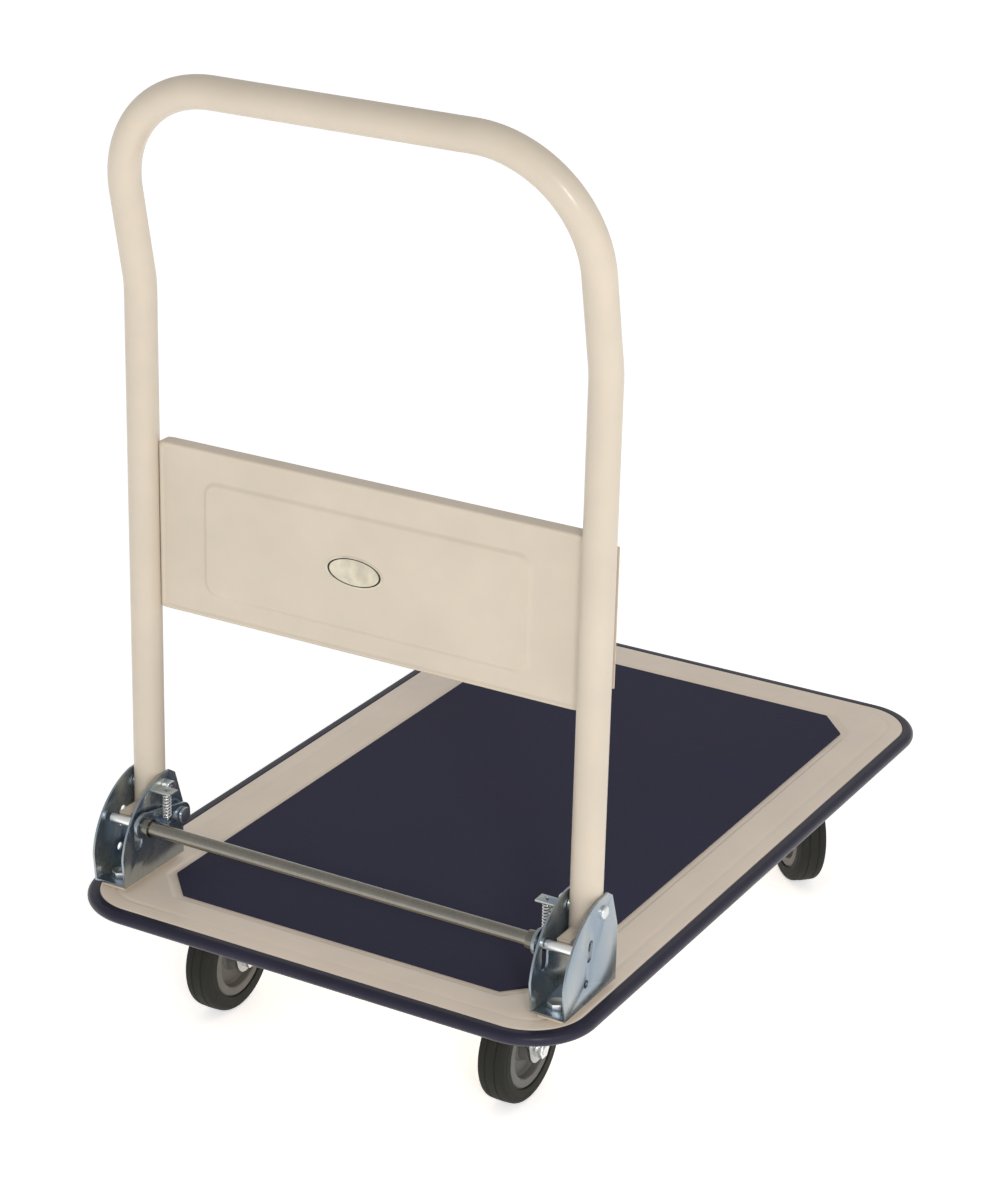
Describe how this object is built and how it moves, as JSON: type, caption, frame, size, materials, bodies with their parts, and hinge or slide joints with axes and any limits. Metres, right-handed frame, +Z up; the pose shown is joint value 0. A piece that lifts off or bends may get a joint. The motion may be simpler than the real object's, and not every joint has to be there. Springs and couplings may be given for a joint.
{
  "type": "folding platform cart",
  "caption": "Flat steel platform cart with a fold-down tube handle, foot release bar, fixed casters at the handle end and swivel casters at the other.",
  "frame": {"origin": "on the floor under the centre of the deck", "axes": "+X away from the push handle along the deck, +Y to the left seen from the handle, +Z up"},
  "size_m": [0.75, 0.484, 0.8359],
  "materials": {
    "deck_paint": "glossy cream paint",
    "handle_paint": "glossy cream paint",
    "frame_paint": "satin cream paint",
    "mat": "matt navy mat with a fine grain",
    "bumper_rubber": "semi-gloss navy rubber",
    "bracket_zinc": "blue-passivated zinc plate",
    "caster_zinc": "zinc plate",
    "bar_steel": "bright zinc plate",
    "spring_steel": "zinc-plated wire",
    "badge": "printed badge",
    "fasteners": "zinc plate",
    "tyre": "dark grey rubber",
    "wheel_centre": "grey plastic"
  },
  "bodies": {
    "deck": {"bracket_backing_plates": "frame_paint", "bracket_bolts": "fasteners", "bracket_nuts": "fasteners", "bracket_pads": "frame_paint", "caster_bolts": "fasteners", "caster_nuts": "fasteners", "caster_rivets": "fasteners", "deck_mat": "mat", "deck_pan": "deck_paint", "deck_rail_left": "frame_paint", "deck_rail_right": "frame_paint", "edge_bumper": "bumper_rubber", "front_caster_tray": "frame_paint", "front_left_caster_plate": "caster_zinc", "front_left_kingpin": "fasteners", "front_left_swivel_race": "caster_zinc", "front_right_caster_plate": "caster_zinc", "front_right_kingpin": "fasteners", "front_right_swivel_race": "caster_zinc", "handle_pivot_bolts": "fasteners", "handle_pivot_nuts": "fasteners", "hinge_bracket_left": "bracket_zinc", "hinge_bracket_right": "bracket_zinc", "latch_spring_left": "spring_steel", "latch_spring_right": "spring_steel", "lever_pins": "fasteners", "rear_caster_tray": "frame_paint", "rear_left_axle": "fasteners", "rear_left_caster_plate": "caster_zinc", "rear_left_fork": "caster_zinc", "rear_right_axle": "fasteners", "rear_right_caster_plate": "caster_zinc", "rear_right_fork": "caster_zinc", "swivel_balls": "fasteners"},
    "handle": {"handle_tube": "handle_paint", "handle_panel": "handle_paint", "panel_label": "badge", "panel_rivets": "handle_paint", "pivot_sleeves": "fasteners", "locking_noses": "handle_paint"},
    "release_bar": {"lock_bar": "bar_steel", "release_lever_left": "bracket_zinc", "release_lever_right": "bracket_zinc", "bar_collars": "bar_steel"},
    "front_left_swivel": {"front_left_fork": "caster_zinc", "front_left_axle": "fasteners"},
    "rear_left_wheel": {"rear_left_tyre": "tyre", "rear_left_hub": "wheel_centre"},
    "front_left_wheel": {"front_left_tyre": "tyre", "front_left_hub": "wheel_centre"},
    "front_right_swivel": {"front_right_fork": "caster_zinc", "front_right_axle": "fasteners"},
    "rear_right_wheel": {"rear_right_tyre": "tyre", "rear_right_hub": "wheel_centre"},
    "front_right_wheel": {"front_right_tyre": "tyre", "front_right_hub": "wheel_centre"}
  },
  "joints": [
    {"name": "handle_fold", "type": "hinge", "parent": "deck", "child": "handle", "pos_m": [-0.28275, 0, 0.203], "axis": [0, 1, 0], "range_deg": [0, 90]},
    {"name": "bar_release", "type": "hinge", "parent": "deck", "child": "release_bar", "pos_m": [-0.266, 0, 0.172], "axis": [0, -1, 0], "range_deg": [0, 18], "stiffness_Nm_per_rad": 3, "springref_deg": -17.19, "deforming": ["latch_spring_left", "latch_spring_right"]},
    {"name": "front_left_swivel_turn", "type": "hinge", "parent": "deck", "child": "front_left_swivel", "pos_m": [0.249, 0.15, 0.1085], "axis": [0, 0, 1], "continuous": true},
    {"name": "front_right_swivel_turn", "type": "hinge", "parent": "deck", "child": "front_right_swivel", "pos_m": [0.249, -0.15, 0.1085], "axis": [0, 0, 1], "continuous": true},
    {"name": "rear_left_wheel_spin", "type": "hinge", "parent": "deck", "child": "rear_left_wheel", "pos_m": [-0.264, 0.145, 0.05], "axis": [0, 1, 0], "continuous": true},
    {"name": "rear_right_wheel_spin", "type": "hinge", "parent": "deck", "child": "rear_right_wheel", "pos_m": [-0.264, -0.145, 0.05], "axis": [0, 1, 0], "continuous": true},
    {"name": "front_left_wheel_spin", "type": "hinge", "parent": "front_left_swivel", "child": "front_left_wheel", "pos_m": [0.22735, 0.12924, 0.05], "axis": [-0.6921, 0.7218, 0], "continuous": true},
    {"name": "front_right_wheel_spin", "type": "hinge", "parent": "front_right_swivel", "child": "front_right_wheel", "pos_m": [0.22735, -0.17076, 0.05], "axis": [-0.6921, 0.7218, 0], "continuous": true}
  ]
}
